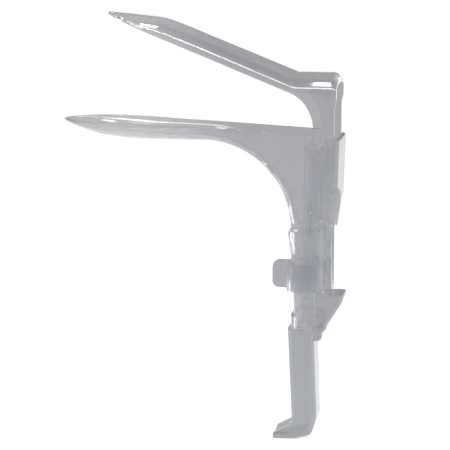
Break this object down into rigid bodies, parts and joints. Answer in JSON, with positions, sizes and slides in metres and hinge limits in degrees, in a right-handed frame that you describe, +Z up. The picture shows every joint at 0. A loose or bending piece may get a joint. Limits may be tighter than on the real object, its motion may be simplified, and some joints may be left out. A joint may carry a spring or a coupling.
{
  "type": "bivalve speculum",
  "caption": "Clear moulded bivalve speculum: a trough-shaped lower blade with handle and grip, and a hinged upper blade on a sliding ratchet carriage.",
  "frame": {"origin": "middle of the grip, on the mid-plane, where the hand closes round it", "axes": "+Z up along the handle, -X towards the blade tips, +Y across the blades to the far side of the picture"},
  "size_m": [0.1321, 0.0358, 0.1984],
  "materials": {
    "clear_plastic": "polished clear polystyrene with a faint blue-grey tint"
  },
  "bodies": {
    "handle": {"lower_blade": "clear_plastic", "grip": "clear_plastic", "finger_clip": "clear_plastic", "trigger_pin": "clear_plastic"},
    "slider": {"carriage": "clear_plastic"},
    "blade": {"upper_blade": "clear_plastic"},
    "lock": {"near_pawl": "clear_plastic"},
    "trigger": {"height_trigger": "clear_plastic"}
  },
  "joints": [
    {"name": "height_slide", "type": "slide", "parent": "handle", "child": "slider", "axis": [0, 0, 1], "range_m": [0, 0.014]},
    {"name": "blade_hinge", "type": "hinge", "parent": "slider", "child": "blade", "pos_m": [0.0128, 0, 0.0877], "axis": [0, 1, 0], "range_deg": [-23.5, 7.5]},
    {"name": "pawl_press", "type": "hinge", "parent": "slider", "child": "lock", "pos_m": [0.009, -0.016, 0.0721], "axis": [0, 1, 0], "range_deg": [0, 8], "stiffness_Nm_per_rad": 0.02, "springref_deg": -5.73},
    {"name": "trigger_press", "type": "hinge", "parent": "handle", "child": "trigger", "pos_m": [0.0072, 0, 0.0208], "axis": [0, 1, 0], "range_deg": [0, 4], "stiffness_Nm_per_rad": 0.15, "springref_deg": -2.86}
  ]
}
